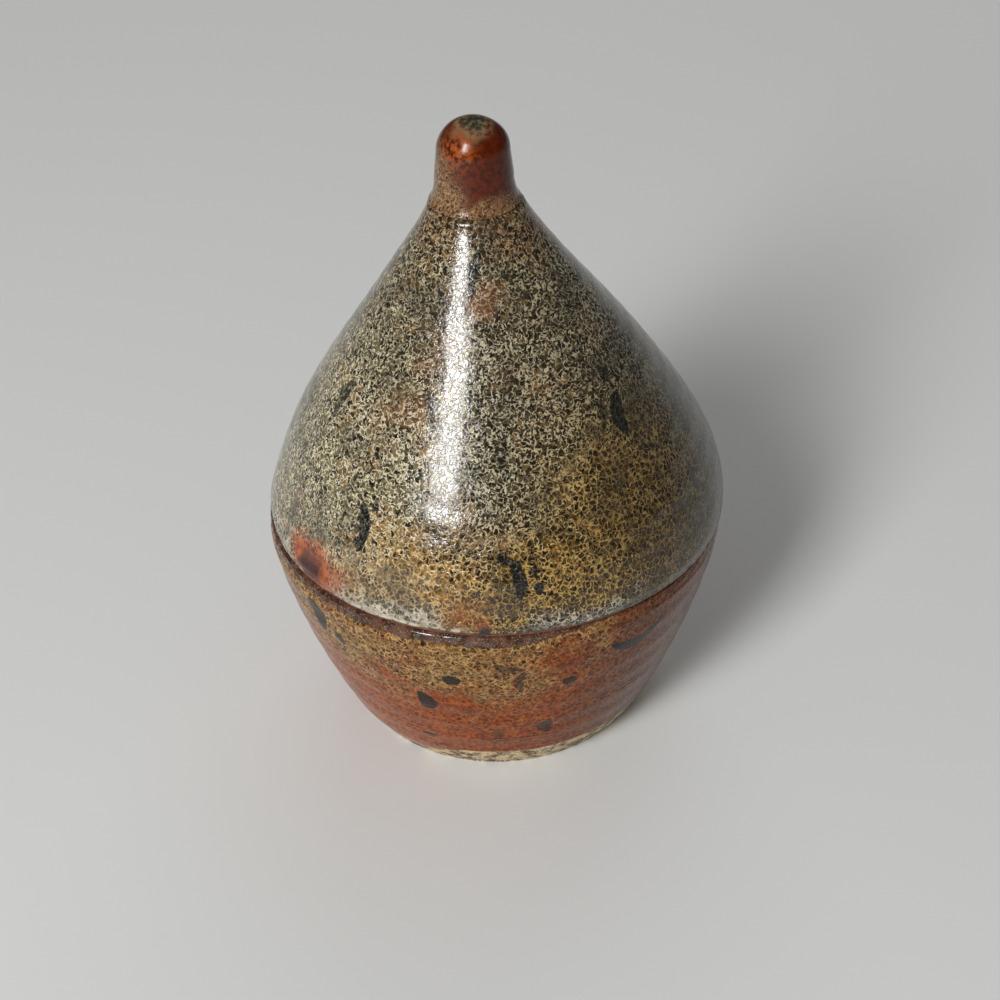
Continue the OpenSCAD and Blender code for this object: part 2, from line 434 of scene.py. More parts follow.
# %% Rings of the hollow and the whole lid
CONE_T, CROWN_Z, HOLLOW_LOW, HOLLOW_TURN = 8.0, 102.5, 0.16, 0.72


def steps(a, b, n):
    """n rings that pass evenly from ring a to ring b, ends left out: a + (b - a) t."""
    t = np.linspace(0, 1, n + 2)[1:-1, None, None]
    return a + (b - a) * t


hollow = cubic_inside(cone, 44, CONE_T, HOLLOW_LOW, HOLLOW_TURN)
tip_corner = drawn_on(cone, HOLLOW_TURN, hollow[-1], CROWN_Z)
hollow = np.vstack([hollow, bend(hollow[-1], tip_corner, (0, CROWN_Z), 20)[1:]])[::-1]
hr, hz = hollow[:, :1], hollow[:, 1:]
tilted = np.stack([SHIFT + hr * np.cos(theta) * math.cos(LEAN) - hz * math.sin(LEAN),
                   hr * np.sin(theta),
                   RIM_Z + hz * math.cos(LEAN) + hr * np.cos(theta) * math.sin(LEAN)], axis=-1)
lid_rings, lid_finish = join([
    (tilted, INSIDE), (steps(tilted[-1:], flange_rings[:1], 3), INSIDE), (flange_rings, INSIDE),
    (steps(flange_rings[-1:], edge_ring, 4), INSIDE), (edge_ring, INSIDE), (outside, OUTSIDE),
    (seat_ring, OUTSIDE), (steps(seat_ring, seat_mid, 3), OUTSIDE), (seat_mid, OUTSIDE),
])
lid_x = lid_rings[..., 0]
print("cone:", len(lid_rings), "rows, from x", lid_x.min().round(2), "to", lid_x.max().round(2))

# %% [markdown]
# ## The knob
# The knob is a small solid turning with a flared foot, a tapered grip and a slightly flattened
# dome. It was stuck on with slip, so a soft crease runs round its foot. Its profile bends twice,
# and a gentle squash keeps it from looking machined.

# %% Profile and rings of the knob
KNOB_Z, KNOB_H = RIM_Z + SEAT, 28.0
KNOB_FOOT_R, KNOB_FOOT_ROUND, FLARE, FLARE_H = 14.4, 0.5, (14.8, 0.8), 2.4
WAIST_R, WAIST_H, DOME_R, DOME_Z = 12.7, 9.5, 11.8, 17.5
SQUASH, TURNING = 0.012, 0.08
knob_profile = np.vstack([
    line((0, 0), (KNOB_FOOT_R, 0), 8),
    arc(KNOB_FOOT_R, KNOB_FOOT_ROUND, KNOB_FOOT_ROUND, -90, 30, 6)[1:],
    bend(FLARE, (WAIST_R, FLARE_H), (WAIST_R, WAIST_H), 26)[1:],
    bend((DOME_R, DOME_Z), (DOME_R, KNOB_H), (0, KNOB_H), 34),
])
kr, kz = knob_profile[:, :1], knob_profile[:, 1:]
knob_r = kr * (1 - SQUASH + SQUASH * np.sin(2 * theta + 0.8 + kz / 15))
knob_r = knob_r + TURNING * np.sin(kz / 1.6 + theta) * swell(kz, 3, 8) * np.clip(kr / 9, 0, 1)
knob_rings = upright(knob_r, KNOB_Z + kz, knob_x)[:, ::2]
print("knob:", len(knob_profile), "rows, top at", knob_rings[..., 2].max().round(2), "mm")

# %% [markdown]
# ## Writing shader nodes
# The finishes are node networks. A few short helpers add a node and fill its inputs, so that a
# network reads from top to bottom like a recipe. They write into the node tree that was opened last,
# so no line has to name it.

# %% Helpers for nodes and sums
tree = None


def put(kind, props=None, **inputs):
    """Adds one node to the open tree. props are its settings. An input is given by name, with _ for a
    blank, or by number as _0, and takes a value or another node's output."""
    node = tree.nodes.new("ShaderNode" + kind)
    for key, value in (props or {}).items():
        setattr(node, key, value)
    for key, value in inputs.items():
        name = int(key[1:]) if key[1:].isdigit() else key.replace("_", " ")
        if isinstance(value, bpy.types.NodeSocket):
            tree.links.new(value, node.inputs[name])
        else:
            node.inputs[name].default_value = value
    return node


def calc(operation, a, b=0.0, c=0.0):
    """One Math node."""
    return put("Math", {"operation": operation}, _0=a, _1=b, _2=c).outputs[0]


def times(a, b):
    """a times b."""
    return calc("MULTIPLY", a, b)


def gain(value, factor, base):
    """value times factor, plus base."""
    return calc("MULTIPLY_ADD", value, factor, base)


def most(first, *others):
    """The largest of several values."""
    for other in others:
        first = calc("MAXIMUM", first, other)
    return first


def vec(operation, a, b=(0, 0, 0), **more):
    """One Vector Math node. Dot products and distances come out as a value."""
    node = put("VectorMath", {"operation": operation}, _0=a, _1=b, **more)
    return node.outputs["Value" if operation in ("DOT_PRODUCT", "DISTANCE") else "Vector"]


print("helpers for nodes and sums ready")

# %% [markdown]
# ## Steps, mixes and noise
# Most masks are a smooth step on some value, and most colours are one colour over another by a mask.
# Positions come from Object coordinates, which move with the piece, so the lid's pattern stays on the
# lid when it is lifted.

# %% Helpers for steps, mixes and noise
def rise(value, low, high):
    """0 below low, 1 above high and a smooth step between. With low above high it falls instead."""
    return put("MapRange", {"interpolation_type": "SMOOTHSTEP"},
               Value=value, From_Min=low, From_Max=high).outputs[0]


def mix(share, a, b):
    """Colour b over colour a, by share."""
    return put("Mix", {"data_type": "RGBA"}, _0=share, _6=a, _7=b).outputs[2]


def tint(colour, mask, strength, over):
    """The colour over laid on a colour, by a mask times a strength."""
    return mix(times(mask, strength), colour, over)


def part(share, a, b):
    """Value b over value a, by share."""
    return put("Mix", {"data_type": "FLOAT"}, _0=share, _2=a, _3=b).outputs[0]


def noise(where, scale, detail=2.0, rough=0.5):
    """A Noise Texture's value, about 0.5 on average."""
    return put("TexNoise", None, Vector=where, Scale=scale, Detail=detail,
               Roughness=rough).outputs[0]


def shaken(where, scale, amount):
    """Positions moved about by noise, which makes an edge ragged. amount is in metres, or in the
    unit of the positions."""
    colour = put("TexNoise", None, Vector=where, Scale=scale, Detail=2.0).outputs["Color"]
    shift = vec("SUBTRACT", colour, (0.5, 0.5, 0.5))
    return vec("ADD", where, vec("SCALE", shift, Scale=amount))


def axes(where):
    """The X, Y and Z of positions."""
    return put("SeparateXYZ", None, Vector=where).outputs


print("helpers for steps, mixes and noise ready")

# %% [markdown]
# ## Node groups
# An effect that several finishes share is a node group. It is made once, with named sockets, and
# placed in each material with its own values.

# %% Helpers for node groups
def new_group(name, inputs, outputs):
    """Opens an empty shader node group with those named sockets. Returns the group, its inputs and
    its output node."""
    global tree
    tree = bpy.data.node_groups.new(name, "ShaderNodeTree")
    for in_out, sockets in (("INPUT", inputs), ("OUTPUT", outputs)):
        for socket, kind in sockets.items():
            tree.interface.new_socket(name=socket, in_out=in_out, socket_type="NodeSocket" + kind)
    return tree, tree.nodes.new("NodeGroupInput").outputs, tree.nodes.new("NodeGroupOutput")


def close_group(way_out, **values):
    """Links the open group's results to its named outputs."""
    for name, value in values.items():
        tree.links.new(value, way_out.inputs[name])
    print(tree.name, "group:", len(tree.nodes), "nodes")


def use(group, **inputs):
    """Places a group in the open tree and fills its inputs. Returns its outputs."""
    return put("Group", {"node_tree": group}, **inputs).outputs


print("group helpers ready")

# %% [markdown]
# ## Orange peel
# Salt thrown into the kiln turns to vapour and settles as glaze that draws together into small
# cells, like the skin of an orange. Pale lines run between dark pits about two millimetres wide. A
# Voronoi texture gives such cells: its distance to the edge draws the lines, and its distance to the
# middle the pits. Noise bends the lines, thins them out in places and gives each pit its own size.
# Where the cells run together, the lines and pits come from ridges of noise instead.

# %% Group: orange peel
orange_peel, peel_in, peel_out = new_group(
    "orange_peel",
    {"Vector": "Vector", "Scale": "Float", "Wander": "Float", "Cover": "Float", "Worm": "Float"},
    {"Net": "Float", "Pit": "Float", "Height": "Float"})
cells = vec("SCALE", peel_in["Vector"], Scale=peel_in["Scale"])
bent = shaken(cells, 1.1, peel_in["Wander"])
edge = put("TexVoronoi", {"feature": "DISTANCE_TO_EDGE"}, Vector=bent, Scale=1.0)
edge = edge.outputs["Distance"]
heart = put("TexVoronoi", {"feature": "F1"}, Vector=bent, Scale=1.0).outputs
# Lines between the cells, frayed and of uneven width
width = put("MapRange", None, Value=noise(cells, 0.5, 3.0), From_Min=0.36, From_Max=0.62,
            To_Min=0.02, To_Max=0.15).outputs[0]
fray = gain(noise(cells, 2.2, 2.0), 0.16, -0.08)
net = rise(calc("ADD", edge, fray), width, 0.0)
# Lines along the ridges of a noise, where it passes 0.5
ridge = calc("ABSOLUTE", calc("SUBTRACT", noise(bent, 1.15, 1.0), 0.5))
ridge = rise(gain(fray, 0.25, ridge), 0.062, 0.008)
# Pits in the middle of the cells, or blots of noise
chance = put("SeparateColor", None, Color=heart["Color"]).outputs[0]
reach = gain(chance, 0.26, calc("ADD", peel_in["Cover"], 0.36))
pit = rise(heart["Distance"], calc("ADD", reach, 0.16), calc("SUBTRACT", reach, 0.16))
blot = rise(calc("ADD", noise(bent, 0.95, 2.0), peel_in["Cover"]), 0.46, 0.58)
# Worm chooses between the two kinds, and the lines stand up from the pits
pit = part(peel_in["Worm"], pit, blot)
net = part(peel_in["Worm"], net, ridge)
pit = times(pit, calc("SUBTRACT", 1.0, net))
relief = gain(net, 0.55, times(pit, -0.45))
relief = gain(noise(cells, 1.7, 3.0), 0.35, relief)
close_group(peel_out, Net=net, Pit=pit, Height=relief)

# %% [markdown]
# ## Brush dabs
# Short comma strokes of dark iron slip are a common ornament on such pots. A dab is drawn where it
# lies on the surface: its middle, the direction of the stroke and the direction across it turn a
# position into two lengths, and a round head that thins into a bent tail is a limit on the second.

# %% Group: brush dab
brush_dab, dab_in, dab_out = new_group(
    "brush_dab",
    {"Vector": "Vector", "Middle": "Vector", "Along": "Vector", "Across": "Vector", "Outward": "Vector",
     "Half Length": "Float", "Half Width": "Float", "Bow": "Float", "Taper": "Float"},
    {"Mask": "Float"})
# The length along the stroke, in halves of it, and the length from its bent middle line
off = vec("SUBTRACT", dab_in["Vector"], dab_in["Middle"])
run = calc("DIVIDE", vec("DOT_PRODUCT", off, dab_in["Along"]), dab_in["Half Length"])
square = times(run, run)
sway = times(square, dab_in["Bow"])
aside = calc("ABSOLUTE", calc("SUBTRACT", vec("DOT_PRODUCT", off, dab_in["Across"]), sway))
# Half the width there: round at both ends and thinner towards the tail
round_end = calc("SQRT", most(calc("SUBTRACT", 1.0, square), 0.0))
thin = calc("SUBTRACT", 1.0, times(dab_in["Taper"], gain(run, 0.5, 0.5)))
limit = times(times(round_end, thin), dab_in["Half Width"])
# A soft edge, and nothing on the far side of the pot
mask = rise(calc("SUBTRACT", limit, aside), -0.00025, 0.00060)
near = rise(vec("DOT_PRODUCT", off, dab_in["Outward"]), -0.02, -0.012)
mask = times(times(mask, near), rise(square, 1.0, 0.96))
close_group(dab_out, Mask=mask)

# %% [markdown]
# ## Flashes
# A flash is where the flame left the clay bare and red: a soft round patch. Positions that were
# shaken first give it a ragged edge. The same soft patch also lays out where a glaze changes colour.

# %% Group: kiln flash
kiln_flash, flash_in, flash_out = new_group(
    "kiln_flash", {"Vector": "Vector", "Middle": "Vector", "Reach": "Float", "Softness": "Float"},
    {"Mask": "Float"})
gap = calc("DIVIDE", vec("DISTANCE", flash_in["Vector"], flash_in["Middle"]), flash_in["Reach"])
mask = rise(gap, calc("ADD", 1.0, flash_in["Softness"]), calc("SUBTRACT", 1.0, flash_in["Softness"]))
close_group(flash_out, Mask=mask)

# %% [markdown]
# ## Bare clay
# Rim, foot, inside of the lid and underside have no glaze. The clay there is dark and gritty, with
# pale grains, whose light colour is partly their own and partly painted glints. Small Voronoi grains
# give colour and bump together.

# %% Group: bare clay
bare_clay, clay_in, clay_out = new_group(
    "bare_clay",
    {"Vector": "Vector", "Scale": "Float", "Dark": "Color", "Pale": "Color", "Grain": "Color"},
    {"Color": "Color", "Height": "Float", "Spark": "Float"})
grains = put("TexVoronoi", {"feature": "F1"}, Vector=clay_in["Vector"],
             Scale=clay_in["Scale"]).outputs
picked = put("SeparateColor", None, Color=grains["Color"]).outputs[1]
spark = times(rise(picked, 0.76, 0.90), rise(grains["Distance"], 0.5, 0.25))
cloud = noise(clay_in["Vector"], 240.0, 5.0, 0.7)
clay = mix(rise(cloud, 0.38, 0.62), clay_in["Dark"], clay_in["Pale"])
# Pale grains: partly the grit's own colour and partly painted glints
clay = mix(spark, clay, clay_in["Grain"])
bumps = gain(noise(clay_in["Vector"], 1400.0, 3.0), 0.8, times(spark, 0.5))
close_group(clay_out, Color=clay, Height=bumps, Spark=spark)

# %% [markdown]
# ## Places on the surface
# A dab is placed as a potter would point to it: so many degrees round, so many millimetres up. Small
# steps up and round from that place give the directions of the surface there.

# %% Find a place on the cone or the bowl
wall_points = cubic(wall, 300)


def on_cone(angle, height):
    """The point of the cone at an angle in degrees and a height in mm above the table: its radius
    there, round an axis that moves aside by height times tan(lean)."""
    up = height - RIM_Z
    radius = np.interp(up, cone_points[:, 1], cone_points[:, 0])
    a = math.radians(angle)
    x = SHIFT - up * math.tan(LEAN) + radius * math.cos(a)
    return np.array([x, radius * math.sin(a), height]) * MM


def on_bowl(angle, height):
    """The point of the bowl at an angle in degrees and a height in mm above the table: its radius
    there times the cosine and sine of the angle."""
    radius = np.interp(height, wall_points[:, 1], wall_points[:, 0])
    a = math.radians(angle)
    return np.array([radius * math.cos(a), radius * math.sin(a), height]) * MM


def stroke(surface, angle, height, length, wide, turn, bow, taper):
    """The inputs of one brush dab. With turn 0 the head is up and the tail runs straight down. turn
    is in degrees towards growing angles, and the lengths are in mm. The stroke runs along
    -cos(turn) up + sin(turn) round."""
    middle = surface(angle, height)
    round_way = surface(angle + 1, height) - surface(angle - 1, height)
    up_way = surface(angle, height + 1) - surface(angle, height - 1)
    round_way /= np.linalg.norm(round_way)
    up_way /= np.linalg.norm(up_way)
    t = math.radians(turn)
    along = -math.cos(t) * up_way + math.sin(t) * round_way
    across = math.cos(t) * round_way + math.sin(t) * up_way
    outward = np.cross(round_way, up_way)
    return {"Middle": middle, "Along": along, "Across": across, "Outward": outward,
            "Half_Length": length / 2 * MM, "Half_Width": wide / 2 * MM, "Bow": bow * MM,
            "Taper": taper}


print("a place on the cone:", on_cone(-90, 120).round(4))

# %% [markdown]
# ## Many dabs and flashes
# Where two strokes or two patches overlap, the stronger one counts, so a list of them is one mask: the
# largest of all.

# %% Masks from lists
def all_dabs(where, surface, dabs):
    """One mask for a whole list of dabs: the largest of their masks, each times its strength."""
    masks = [times(use(brush_dab, Vector=where, **stroke(surface, *dab))["Mask"], strength)
             for *dab, strength in dabs]
    return most(*masks)


def patch(where, middle, reach, softness):
    """One soft patch round a point, with its reach in mm."""
    return use(kiln_flash, Vector=where, Middle=middle, Reach=reach * MM,
               Softness=softness)["Mask"]


def flash(where, surface, *places):
    """One mask for flashes on a surface, each given by angle, height, reach and softness."""
    masks = [patch(where, surface(angle, height), reach, softness)
             for angle, height, reach, softness in places]
    return most(*masks)


print("list helpers ready")

# %% [markdown]
# ## Glaze of the lid: where things are
# The lid's glaze changes from pale grey-green on one side to olive at the top and on the other side,
# with a golden ochre bloom low down. Soft masks over the surface say where each lies. The cells of
# the orange peel are small and run together high up, and are larger and rounder low down.

# %% Lid glaze: masks
def new_material(name):
    """Opens a material with only a Principled shader. Returns it, the shader and the Object
    coordinates of its piece."""
    global tree
    material = bpy.data.materials.new(name)
    material.use_nodes = True
    tree = material.node_tree
    return material, tree.nodes["Principled BSDF"], put("TexCoord").outputs["Object"]


lid_glaze, shader, where = new_material("lid_glaze")
# Shaken positions, from wide and soft to fine and ragged
soft = shaken(where, 45.0, 0.030)
loose = shaken(where, 170.0, 0.010)
brushed = shaken(where, 400.0, 0.0016)
ragged = shaken(where, 520.0, 0.0012)
place, exact = axes(soft), axes(where)
# Olive grows to the right and upwards, ochre and cream lie low down in front
shade = rise(gain(place["Z"], 0.30, place["X"]), -0.02, 0.055)
ochre = flash(soft, on_cone, (-45, 104, 40, 0.5), (-78, 98, 26, 0.6), (-98, 94, 24, 0.6))
cream = flash(soft, on_cone, (-120, 93, 20, 0.7), (-104, 105, 13, 0.8))
# Two sizes of cells: the large ones in the ochre and low down
cover = gain(cream, -0.03, times(shade, 0.08))
small = use(orange_peel, Vector=where, Scale=525.0, Wander=1.2, Cover=cover, Worm=0.9)
large = use(orange_peel, Vector=where, Scale=520.0, Wander=1.35, Cover=cover, Worm=0.22)
wide = most(ochre, rise(place["Z"], 0.108, 0.094))
wide = rise(gain(noise(where, 320.0), 0.9, wide), 0.82, 1.08)
peel = {name: part(wide, small[name], large[name]) for name in ("Net", "Pit", "Height")}
# Faint warm clouds
faint = flash(soft, on_cone, (-124, 147, 9, 0.8), (-109, 164, 7, 0.8))
faint = most(times(faint, 0.55), flash(soft, on_cone, (-84, 177, 6, 0.7)))
warm = times(rise(noise(where, 75.0, 3.0), 0.48, 0.64), 0.5)
warm = most(warm, times(faint, 0.75))
print("lid glaze masks:", len(tree.nodes), "nodes")

# %% [markdown]
# ## Glaze of the lid: colours
# Each of the three regions has its own colour for lines, ground and pits, and the orange peel
# chooses between these layers. Along the edge the glaze is greyer and milky, and under the knob it
# is brown. The far right is darkened with painted shade.

# %% Lid glaze: colours of the orange peel
def by_side(pale, olive, golden):
    """One layer's colour: pale on one side of the lid, olive on the other, golden in the bloom."""
    return mix(ochre, mix(shade, srgb(*pale), srgb(*olive)), srgb(*golden))


lines = by_side((225, 216, 183), (187, 175, 142), (201, 169, 97))
ground = by_side((116, 104, 73), (76, 65, 42), (92, 58, 5))
pits = by_side((19, 17, 10), (31, 25, 13), (31, 18, 1))
ground = mix(warm, ground, srgb(148, 108, 64))
ground = tint(ground, cream, 0.75, srgb(154, 114, 52))
lines = tint(lines, cream, 0.6, srgb(214, 188, 140))
# Greyer along the edge, with a gap in front, and milky on the left
edge = rise(gain(noise(where, 60.0, 3.0), 0.012, exact["Z"]), 0.0985, 0.0935)
edge = times(edge, rise(place["X"], 0.058, 0.036))
broken = rise(calc("ABSOLUTE", calc("ADD", place["X"], 0.007)), 0.008, 0.016)
edge = times(edge, broken)
milky = times(edge, rise(place["X"], -0.006, -0.016))
lines = tint(lines, edge, 0.8, srgb(204, 202, 188))
ground = tint(ground, edge, 0.5, srgb(120, 114, 98))
ground = tint(ground, milky, 0.6, srgb(186, 172, 146))
# Brown under the knob
collar = times(rise(place["Z"], 0.182, 0.196), 0.7)
ground = mix(collar, ground, srgb(122, 82, 48))
lines = mix(collar, lines, srgb(164, 134, 94))
# The layers together, with painted shade at the far right, and darker in loose clusters
glaze = mix(peel["Net"], mix(peel["Pit"], ground, pits), lines)
glaze = tint(glaze, faint, 0.3, srgb(172, 106, 66))
# Painted shade: the far right of the lid, the side away from the lamp, is darkened
painted_shade_right = rise(place["X"], 0.022, 0.066)
glaze = tint(glaze, painted_shade_right, 0.6, srgb(34, 28, 14))
cluster = times(rise(noise(where, 55.0, 4.0, 0.65), 0.46, 0.66), 0.75)
glaze = mix(cluster, glaze, mix(0.7, glaze, srgb(52, 46, 32)))
print("lid glaze so far:", len(tree.nodes), "nodes")

# %% [markdown]
# ## Glaze of the lid: flashes
# A red flash with a dark, streaky core sits at the left of the edge, and weaker ones trail along it.
# The streaks are noise stretched upwards.

# %% Lid glaze: flashes
red = flash(loose, on_cone, (-147, 92, 6.5, 0.6), (-140, 88, 9.5, 0.5))
trail = most(flash(soft, on_cone, (-133, 88, 8, 0.7)),
             flash(ragged, on_cone, (-99, 90.5, 3, 0.8), (-94, 87.5, 2.6, 0.8)),
             times(flash(loose, on_cone, (-99, 90, 7, 0.8)), 0.5))
blush = mix(peel["Pit"], srgb(188, 86, 10), srgb(122, 40, 2))
glaze = tint(glaze, red, 0.9, blush)
glaze = tint(glaze, trail, 0.6, srgb(138, 66, 18))
# The dark core with its streaks
core = flash(loose, on_cone, (-142.5, 88.5, 6.4, 0.5))
streaky = noise(vec("MULTIPLY", where, (260.0, 260.0, 60.0)), 1.0, 2.0)
glaze = tint(glaze, core, rise(streaky, 0.08, 0.36), srgb(62, 17, 2))
print("lid glaze with flashes:", len(tree.nodes), "nodes")

# %% [markdown]
# ## Glaze of the lid: dabs
# The dabs lie over the glaze, and pale lines cross them here and there. Each is a row of angle,
# height, length, width, turn, bow, taper and strength.

# %% Lid glaze: dabs
lid_dabs = [
    (-95, 184, 17, 4.4, -6, 1.5, 0.4, 0.8), (-154, 140, 15, 6.4, -8, 1.5, 0.4, 0.75),
    (-112, 149, 12, 5.6, 14, -1.5, 0.4, 0.65), (-41, 138.5, 15, 7.2, -14, 2.0, 0.2, 1.0),
    (-46, 141, 10, 4.4, -6, -2.0, 0.2, 0.75), (-38, 149, 6, 5.0, 0, 0.5, 0.3, 0.9),
    (-86, 136, 15, 4.4, 0, 1.0, 0.3, 0.45), (-126.5, 111, 17, 5.8, 8, -2.0, 0.40, 1.0),
    (-129, 110, 4, 3.0, 0, 0, 0.2, 0.9), (-128, 106, 3.6, 2.8, 0, 0, 0.2, 0.9),
    (-124.5, 118, 3.6, 3.4, 0, 0, 0.2, 0.85), (-84.5, 102.5, 14, 5.4, 6, -1.0, 0.15, 1.0),
    (-87.5, 108, 5.6, 3.8, 70, 0, 0.2, 0.95), (-81, 104, 3.6, 3.6, 0, 0, 0.2, 0.9),
    (-80, 99, 4.4, 4.2, 0, 0, 0.2, 1.0), (-25, 108, 12, 4.6, -10, 1.5, 0.4, 0.85),
    (5, 132, 16, 5.0, 10, -1.5, 0.4, 0.9), (18, 104, 15, 4.8, -14, 1.5, 0.4, 0.9),
    (40, 150, 14, 4.4, 6, 1.5, 0.4, 0.8), (62, 118, 17, 5.2, 12, -2.0, 0.4, 0.95),
    (88, 140, 15, 4.8, -8, 1.5, 0.4, 0.85), (104, 104, 15, 5.0, 10, -1.5, 0.4, 0.95),
    (128, 128, 16, 5.0, -14, 1.5, 0.4, 0.9), (150, 160, 13, 4.4, 8, 1.0, 0.4, 0.8),
    (165, 110, 16, 5.2, 12, -2.0, 0.4, 0.95), (95, 176, 13, 4.2, -8, 1.0, 0.4, 0.8),
]
dark = all_dabs(brushed, on_cone, lid_dabs)
glaze = tint(glaze, dark, gain(peel["Net"], -0.15, 1.0), srgb(22, 21, 16))
print("lid glaze with", len(lid_dabs), "dabs:", len(tree.nodes), "nodes")

# %% [markdown]
# ## Glaze of the lid: edge and surface
# The lowest millimetres are bare clay, with a broken roll of pale glaze above them, whose paleness
# is partly a painted highlight. A slow noise in the bump makes the surface a little uneven, so that
# the highlight wavers as it does on the real lid.

# %% Lid glaze: edge and surface
def dress(shader, colour, rough, height, depth, strength=1.0, **plain):
    """Links colour, roughness and a bump of that depth in metres into the shader. The plain values
    are set on the shader's inputs by name, with _ for a blank."""
    for name, value in plain.items():
        shader.inputs[name.replace("_", " ")].default_value = value
    tree.links.new(colour, shader.inputs["Base Color"])
    tree.links.new(rough, shader.inputs["Roughness"])
    bump = put("Bump", None, Strength=strength, Distance=depth, Height=height)
    tree.links.new(bump.outputs[0], shader.inputs["Normal"])


clay = use(bare_clay, Vector=where, Scale=2400.0, Dark=srgb(54, 34, 24), Pale=srgb(96, 62, 42),
           Grain=srgb(170, 138, 108))
# The pale roll of glaze, partly its own colour and partly a painted highlight, at the front left
# only and broken by noise
ending = gain(noise(where, 70.0), 0.003, exact["Z"])
roll_and_painted_highlight = times(rise(place["X"], -0.004, -0.014), rise(place["X"], -0.060, -0.046))
roll_and_painted_highlight = times(rise(ending, 0.0884, 0.0862), roll_and_painted_highlight)
roll_and_painted_highlight = times(roll_and_painted_highlight, rise(noise(where, 230.0, 3.0), 0.44, 0.56))
glaze = tint(glaze, roll_and_painted_highlight, 0.8, srgb(214, 200, 178))
# Bare clay below it, with one dark blotch
bare = rise(ending, 0.0857, 0.0850)
glaze = mix(bare, glaze, clay["Color"])
blotch = flash(ragged, on_cone, (-93.5, 84.8, 2.2, 0.4))
glaze = mix(blotch, glaze, srgb(34, 24, 22))
# Glossy glaze, rough clay
rough = gain(noise(where, 90.0), 0.10, 0.06)
rough = part(bare, rough, rise(noise(where, 260.0, 3.0), 0.30, 0.75))
uneven = gain(noise(where, 95.0, 1.0), 4.0, peel["Height"])
height = mix(bare, uneven, clay["Height"])
dress(shader, glaze, rough, height, depth=0.00009, IOR=1.52, Specular_IOR_Level=0.62)
print("lid glaze:", len(tree.nodes), "nodes")

# %% [markdown]
# ## Glaze of the bowl: brick and tan
# Flame reached the lower bowl, so it is brick red with thin glaze and shows the trimming lines.
# Higher up the glaze is thicker, tan and pitted like the lid. The change between them is patchy.

# %% Jar glaze: brick and tan
jar_glaze, shader, where = new_material("jar_glaze")
soft = shaken(where, 55.0, 0.022)
ragged = shaken(where, 520.0, 0.0012)
place, exact = axes(soft), axes(where)
peel = use(orange_peel, Vector=where, Scale=500.0, Wander=1.2, Cover=-0.04, Worm=0.35)
bands = noise(vec("MULTIPLY", where, (55.0, 55.0, 620.0)), 1.0, 3.0, 0.6)
# Salt reached the upper wall, less so on the right, in patches
patchy = gain(noise(where, 48.0, 4.0, 0.6), 0.09, -0.045)
salted = times(rise(calc("ADD", place["Z"], patchy), 0.032, 0.066),
               rise(calc("ADD", place["X"], patchy), 0.050, 0.000))
salted = rise(gain(noise(where, 360.0, 3.0), 0.7, salted), 0.45, 1.20)
# Brick is browner on the right, paler on the far left, partly its own colour and partly a painted
# sheen on the side towards the lamp, and banded by the trimming tool
brick = mix(rise(place["X"], 0.004, 0.050), srgb(146, 64, 10), srgb(98, 58, 36))
brick = tint(brick, rise(place["X"], -0.012, -0.048), 0.65, srgb(168, 96, 56))
brick = mix(rise(bands, 0.40, 0.62), brick, mix(0.45, brick, srgb(84, 32, 10)))
brick = tint(brick, peel["Net"], 0.5, srgb(190, 118, 62))
brick = tint(brick, peel["Pit"], 0.75, srgb(44, 16, 5))
# Tan in two tones, pitted
tan = mix(rise(noise(where, 70.0, 3.0), 0.40, 0.62), srgb(124, 86, 42), srgb(120, 66, 28))
tan = mix(peel["Pit"], tan, srgb(34, 16, 6))
tan = tint(tan, peel["Net"], 0.85, srgb(206, 170, 112))
glaze = mix(salted, brick, tan)
print("jar glaze so far:", len(tree.nodes), "nodes")

# %% [markdown]
# ## Glaze of the bowl: dabs
# The bowl has the same kind of dabs as the lid, shorter and rounder, in rows of the same eight values.

# %% Jar glaze: dabs
jar_dabs = [
    (-140, 69, 15, 10.5, 10, -2.0, 0.5, 0.95), (-133.5, 63.5, 6, 5.0, 20, 0, 0.3, 0.95),
    (-102, 60, 6.5, 6.0, 90, 0, 0.1, 1.0), (-110, 45, 11, 5.2, 14, -1.0, -0.6, 1.0),
    (-88, 67, 10, 4.4, 75, 1.5, 0.4, 0.7), (-85, 59, 12, 3.8, 0, 1.0, 0.4, 0.65),
    (-72, 56, 5.5, 4.8, 90, 0, 0.1, 0.9), (-53, 64.5, 23, 7.4, 94, 4.5, 0.5, 1.0),
    (-77, 29, 10, 5.0, 0, 1.5, -0.3, 0.8), (-91, 26, 8, 4.0, 5, 0, -0.3, 0.55),
    (-113, 20, 6, 4.4, 80, 0, 0.2, 0.8), (-30, 58, 14, 5.4, 70, 2.5, 0.4, 0.9),
    (-15, 40, 14, 5.2, -10, 1.5, 0.5, 0.9), (8, 62, 18, 5.6, 70, 2.5, 0.5, 0.95),
    (25, 36, 12, 5.4, 10, 1.0, 0.5, 0.9), (45, 60, 17, 5.4, 80, 2.5, 0.5, 0.95),
    (70, 44, 14, 5.4, -12, 1.5, 0.5, 0.9), (90, 66, 8, 6.0, 90, 0, 0.1, 0.95),
    (112, 52, 17, 5.4, 84, 2.5, 0.5, 0.9), (135, 34, 13, 5.2, 0, 1.0, 0.5, 0.9),
    (158, 62, 18, 5.4, 60, 2.5, 0.5, 0.95), (-165, 44, 12, 5.2, 0, 1.0, 0.5, 0.85),
]
dark = all_dabs(ragged, on_bowl, jar_dabs)
glaze = tint(glaze, dark, 0.95, srgb(28, 28, 22))
print("jar glaze with", len(jar_dabs), "dabs:", len(tree.nodes), "nodes")

